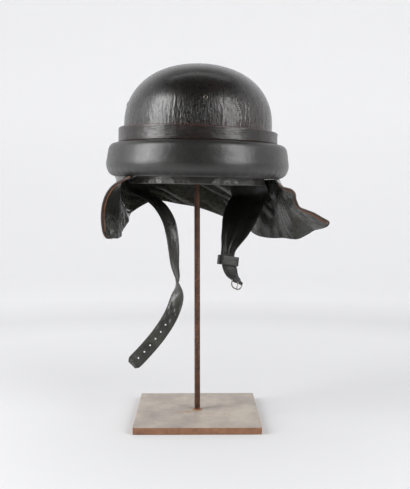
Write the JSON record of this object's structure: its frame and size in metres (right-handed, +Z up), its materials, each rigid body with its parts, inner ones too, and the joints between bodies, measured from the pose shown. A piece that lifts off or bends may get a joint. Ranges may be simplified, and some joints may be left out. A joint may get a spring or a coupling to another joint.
{
  "type": "leather flight helmet on display stand",
  "caption": "Leather flight helmet with hard oval crown, padded rim roll, neck curtain and open chin strap with buckle, resting on a plain square-plate display stand.",
  "frame": {"origin": "centre of the stand plate's underside, on the surface it stands on", "axes": "+Z up, the helmet's front faces -Y, the wearer's left side is at +X"},
  "size_m": [0.3302, 0.2984, 0.5185],
  "materials": {
    "crown_leather": "dark brown-black, worn, half gloss",
    "roll_leather": "dark grey-black, smooth, satin",
    "flap_leather": "green-black, creased, half gloss",
    "strap_leather": "black, creased, satin",
    "piping_leather": "tan-brown, rubbed",
    "rusty_steel": "rusted, waxed",
    "bright_steel": "worn plating"
  },
  "bodies": {
    "helmet_and_stand": {"stand_base": "rusty_steel", "stand_rod": "rusty_steel", "stand_cap": "rusty_steel", "crown": "crown_leather", "crown_band": "crown_leather", "brim_roll": "roll_leather", "headband": "strap_leather", "neck_curtain": "flap_leather", "edge_piping_left": "piping_leather", "edge_piping_right": "piping_leather", "chin_strap_long": "strap_leather", "chin_strap_short": "strap_leather", "strap_keeper": "strap_leather", "vent_eyelet_front": "bright_steel", "vent_eyelet_left": "bright_steel", "vent_eyelet_back": "bright_steel", "vent_eyelet_right": "bright_steel"},
    "buckle_frame": {"buckle_frame": "bright_steel"},
    "buckle_prong": {"buckle_prong": "bright_steel"}
  },
  "joints": [
    {"name": "buckle_swing", "type": "hinge", "parent": "helmet_and_stand", "child": "buckle_frame", "pos_m": [0.05994, 0.01407, 0.20041], "axis": [0.6391, 0.6962, -0.3268], "range_deg": [-95, 80]},
    {"name": "prong_swing", "type": "hinge", "parent": "buckle_frame", "child": "buckle_prong", "pos_m": [0.05994, 0.01407, 0.20041], "axis": [0.6391, 0.6962, -0.3268], "range_deg": [-95, 0]}
  ]
}
